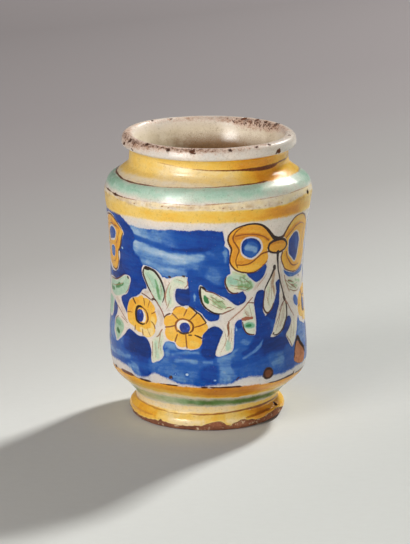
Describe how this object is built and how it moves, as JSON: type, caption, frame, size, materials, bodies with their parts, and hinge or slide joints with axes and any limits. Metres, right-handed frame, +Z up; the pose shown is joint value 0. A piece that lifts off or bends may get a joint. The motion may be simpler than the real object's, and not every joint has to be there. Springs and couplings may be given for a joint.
{
  "type": "albarello drug jar",
  "caption": "Squat waisted earthenware pharmacy jar with foot ring, rounded shoulder, short neck and rolled lip, tin-glazed and painted with bands, ribbon bows and flower swags.",
  "frame": {"origin": "centre of the foot ring, on the table", "axes": "+Z up along the axis of the wheel-thrown body; -Y is the side with the flower pair, which faces the viewer"},
  "size_m": [0.108, 0.108, 0.1495],
  "materials": {
    "terracotta": "bare red earthenware, matt and slightly gritty",
    "lining_glaze": "thin cream-grey glaze, satin",
    "white_glaze": "white tin glaze with a pinkish cast, glossy, pitted at the lip",
    "yellow_glaze": "antimony yellow under a glossy coat, uneven",
    "cream_glaze": "cream tin glaze, glossy",
    "mint_glaze": "pale copper green, glossy",
    "cobalt_glaze": "brushed cobalt blue, glossy, streaked light and dark",
    "amber_glaze": "amber yellow, glossy",
    "leaf_glaze": "pale leaf green, glossy",
    "orange_glaze": "ochre orange, glossy",
    "green_glaze": "copper green, glossy",
    "manganese": "brown-black brushed line, glossy"
  },
  "bodies": {
    "root": {"clay_body": "terracotta", "inner_glaze": "lining_glaze", "rim_glaze": "white_glaze", "neck_yellow_glaze": "yellow_glaze", "neck_cream_glaze": "cream_glaze", "shoulder_green_band": "mint_glaze", "shoulder_cream_band": "cream_glaze", "shoulder_yellow_band": "yellow_glaze", "white_ground": "white_glaze", "cobalt_ground": "cobalt_glaze", "ribbon_bows": "amber_glaze", "bow_knots": "orange_glaze", "flower_petals": "amber_glaze", "flower_centres": "cobalt_glaze", "leaf_sprigs": "leaf_glaze", "base_orange_band": "orange_glaze", "base_green_band": "green_glaze", "base_cream_bands": "cream_glaze", "foot_yellow_glaze": "yellow_glaze", "manganese_lines": "manganese"}
  },
  "joints": []
}
